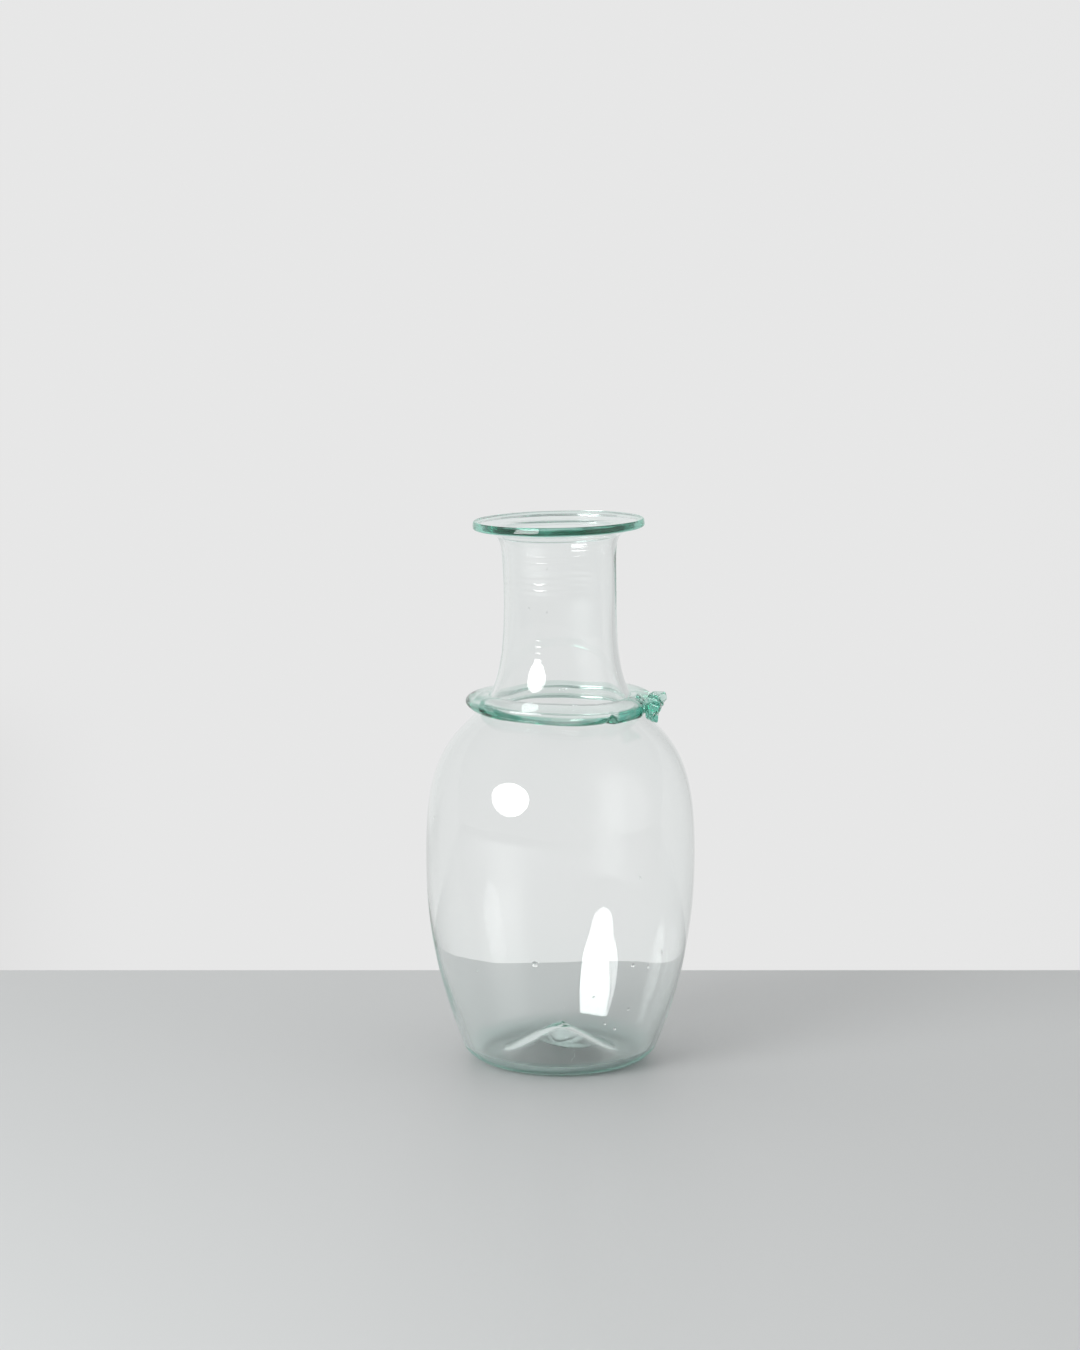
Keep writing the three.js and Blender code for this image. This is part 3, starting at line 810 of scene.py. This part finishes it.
def blown_glass(name, absorbed, deep_colour, ripple, frost=0.0):
    """Clear glass whose body takes up light as it goes through, greener where the piece is marked deep.

    `absorbed` is what each metre takes of red, green and blue. The green comes and goes in patches. The
    skin has slow ripples of a height in metres. It is as rough as `frost` says, in patches, and rubbed dull
    where it stands. Where the piece is fused to its neighbour, the skin is left open."""
    finish, place = new_finish(name)

    def noise(scale, detail):
        """Soft noise over the piece, of so many spots to the metre."""
        inputs = {"Vector": place, "Scale": scale, "Detail": detail}
        return place.node("ShaderNodeTexNoise", {}, inputs, "Fac")

    def mark(label):
        """One of the marks that the piece's points carry."""
        return place.node("ShaderNodeAttribute", {"attribute_name": label}, {}, "Fac")

    # The mark `deep` carries the glass's own green and, on several pieces, painted shade
    patch, deep = noise(PATCH_SCALE, PATCH_DETAIL), mark("deep")
    colour = place.node("ShaderNodeMix", {"data_type": "RGBA"}, {
        0: deep * (PATCH_LEAST + PATCH_RANGE * patch), 6: WHITE, 7: deep_colour + (1.0,),
    }, 2)
    height = place.node("ShaderNodeSeparateXYZ", {}, {"Vector": place}, "Z")
    rubbed = height.ramp(0.0, RUBBED_HEIGHT, RUBBED_DULL, 0.0)
    skin = place.node("ShaderNodeBump", {}, {
        "Strength": 1.0, "Distance": ripple, "Height": noise(RIPPLE_SCALE, RIPPLE_DETAIL),
    }, "Normal")
    glass = place.node("ShaderNodeBsdfPrincipled", {}, {
        "Base Color": colour,
        "Roughness": rubbed * patch + frost * patch,
        "IOR": GLASS_IOR,
        "Transmission Weight": 1.0,
        "Normal": skin,
        "Alpha": place.math("LESS_THAN", mark("fused"), FUSED_ABOVE),
    })
    density = 2.0 * max(absorbed)
    body = place.node("ShaderNodeVolumeAbsorption", {}, {
        "Color": tuple(1 - share / density for share in absorbed) + (1.0,), "Density": density,
    })
    close_tree(finish.node_tree, "ShaderNodeOutputMaterial", Surface=glass, Volume=body)
    return finish


PALE_ABSORBED = (12.0, 5.0, 6.6)
pale_glass = blown_glass("pale_glass", PALE_ABSORBED, (0.80, 0.955, 0.925), BLOWN_RIPPLE)
scar_glass = blown_glass("scar_glass", PALE_ABSORBED, (0.90, 0.97, 0.96), BLOWN_RIPPLE, SCAR_FROST)
# The trail's marked colour is the dark green of its painted shade
collar_glass = blown_glass("collar_glass", (11.0, 4.2, 6.2), (0.05, 0.38, 0.27), BLOWN_RIPPLE)
# The lip's marked colour is the dark green of its painted shade
lip_glass = blown_glass("lip_glass", (16.0, 6.4, 9.0), (0.36, 0.78, 0.66), WOUND_RIPPLE)
# The tag's marked colour is partly its own green and partly painted shade
tag_glass = blown_glass("tag_glass", (34.0, 12.0, 17.0), (0.22, 0.62, 0.50), WOUND_RIPPLE)

piece("vessel_glass", "vessel", "pale_glass", pale_glass, vessel_surface(), *grains(GRAINS))
piece("lip_coil", "lip_wrap", "aqua_glass", lip_glass, lip_surface())
piece("collar_coil", "collar_trail", "aqua_glass", collar_glass, trail_surface())
piece("pinched_tag", "trail_knot", "aqua_glass", tag_glass, knot_surface())
piece("pontil_scar", "pontil_wad", "pale_glass", scar_glass, wad_surface())

# Stage, in metres
FLOOR_HALF_WIDTH = 3.0
FLOOR_FRONT = -3.0
FLOOR_BACK = 0.147
FLOOR_LEVEL = -0.00005
FLOOR_GREY = (0.60, 0.615, 0.615, 1.0)
FLOOR_ROUGHNESS = 0.4
FLOOR_SPECULAR = 0.35

WINDOW_PLACE = (-0.86, -0.83, 0.50)
WINDOW_TARGET = Vector((0, 0, 0.11))
WINDOW_WIDTH = 0.80
WINDOW_HEIGHT = 0.53
WINDOW_WATTS = 10.0

# Light from all round: how bright it is behind, and how much darker or brighter elsewhere.
# A band is the fade at its start and the fade at its end, in radians from straight behind.
BEHIND = 0.80
RIGHT_DARKER = 0.17
RIGHT_BAND = (0.12, 0.50), (0.9, 1.9)
LEFT_DARKER = 0.13
LEFT_BAND = (0.12, 0.24), (0.42, 0.65)
LEFT_BELOW = 0.145, 0.18
FRONT_DARKER = 0.24
FRONT_FADE = 0.85, 2.3
GLOW_BRIGHTER = 0.5
GLOW_WAY = (0.86, -0.44, 0.26)
GLOW_FADE = 0.86, 1.0

EYE_LENS = 89.07
EYE_SENSOR = 36.0
EYE_PLACE = (-0.0083, -1.342, 0.3657)
EYE_RISE = math.radians(81.25)

LIGHT_BOUNCES = 512
OPEN_SKIN_BOUNCES = 32


def stage_floor():
    """The floor: a flat sheet whose far edge is the horizon seen behind the decanter."""
    finish, place = new_finish("floor_grey")
    grey = place.node("ShaderNodeBsdfPrincipled", {}, {
        "Base Color": FLOOR_GREY, "Roughness": FLOOR_ROUGHNESS, "Specular IOR Level": FLOOR_SPECULAR,
    })
    close_tree(finish.node_tree, "ShaderNodeOutputMaterial", Surface=grey)
    x = FLOOR_HALF_WIDTH
    corners = (-x, FLOOR_FRONT), (x, FLOOR_FRONT), (x, FLOOR_BACK), (-x, FLOOR_BACK)
    mesh = bpy.data.meshes.new("floor")
    mesh.from_pydata([(*corner, FLOOR_LEVEL) for corner in corners], [], [(0, 1, 2, 3)])
    mesh.materials.append(finish)
    floor = bpy.data.objects.new("floor", mesh)
    bpy.context.scene.collection.objects.link(floor)


def soft_panel(name, place, target, width, height, watts):
    """A soft light panel, an ellipse that faces a point."""
    lamp = bpy.data.lights.new(name, "AREA")
    lamp.shape, lamp.size, lamp.size_y, lamp.energy = "ELLIPSE", width, height, watts
    panel = bpy.data.objects.new(name, lamp)
    panel.location = place
    panel.rotation_euler = (panel.location - target).to_track_quat("Z", "Y").to_euler()
    panel.visible_camera = False
    bpy.context.scene.collection.objects.link(panel)


def studio_world():
    """Pale light from all round: brightest behind the decanter, darker to the right of that, low down on its
    left and in front, with a wide soft glow at the right. All of it is smoothsteps of the direction."""
    world = bpy.data.worlds.new("studio")
    world.use_nodes = True
    world.node_tree.nodes.clear()
    way = Wire(world.node_tree, None).node("ShaderNodeTexCoord", {}, {}, "Generated")

    def towards(x, y, z):
        """Cosine of the angle between where the light comes from and a direction."""
        operation = {"operation": "DOT_PRODUCT"}
        return way.node("ShaderNodeVectorMath", operation, {0: way, 1: (x, y, z)}, "Value")

    def band(value, fades, strength):
        """Smoothstep up to a strength over the first fade, and down again over the second."""
        return value.ramp(*fades[0], 0.0, strength) - value.ramp(*fades[1], 0.0, strength)

    side = way.math("ARCTAN2", towards(1, 0, 0), towards(0, 1, 0))
    right = band(side, RIGHT_BAND, RIGHT_DARKER)
    below = (0 - towards(0, 0, 1)).ramp(*LEFT_BELOW, 0.0, 1.0)
    left = below * band(0 - side, LEFT_BAND, LEFT_DARKER)
    front = way.math("ABSOLUTE", side, 0.0).ramp(*FRONT_FADE, 0.0, FRONT_DARKER)
    glow = towards(*GLOW_WAY).ramp(*GLOW_FADE, 0.0, GLOW_BRIGHTER)
    light = way.node("ShaderNodeBackground", {}, {
        "Color": WHITE, "Strength": BEHIND - right - left - front + glow,
    })
    close_tree(world.node_tree, "ShaderNodeOutputWorld", Surface=light)
    bpy.context.scene.world = world


stage_floor()
studio_world()
soft_panel("window_left", WINDOW_PLACE, WINDOW_TARGET, WINDOW_WIDTH, WINDOW_HEIGHT, WINDOW_WATTS)

eye = bpy.data.cameras.new("eye")
eye.lens, eye.sensor_width, eye.sensor_fit = EYE_LENS, EYE_SENSOR, "AUTO"
camera = bpy.data.objects.new("eye", eye)
camera.location = EYE_PLACE
camera.rotation_euler = (EYE_RISE, 0.0, 0.0)
bpy.context.scene.collection.objects.link(camera)
bpy.context.scene.camera = camera

bpy.context.scene.view_settings.view_transform = "Standard"
cycles = bpy.context.scene.cycles
cycles.max_bounces = cycles.transmission_bounces = cycles.glossy_bounces = LIGHT_BOUNCES
cycles.transparent_max_bounces = OPEN_SKIN_BOUNCES
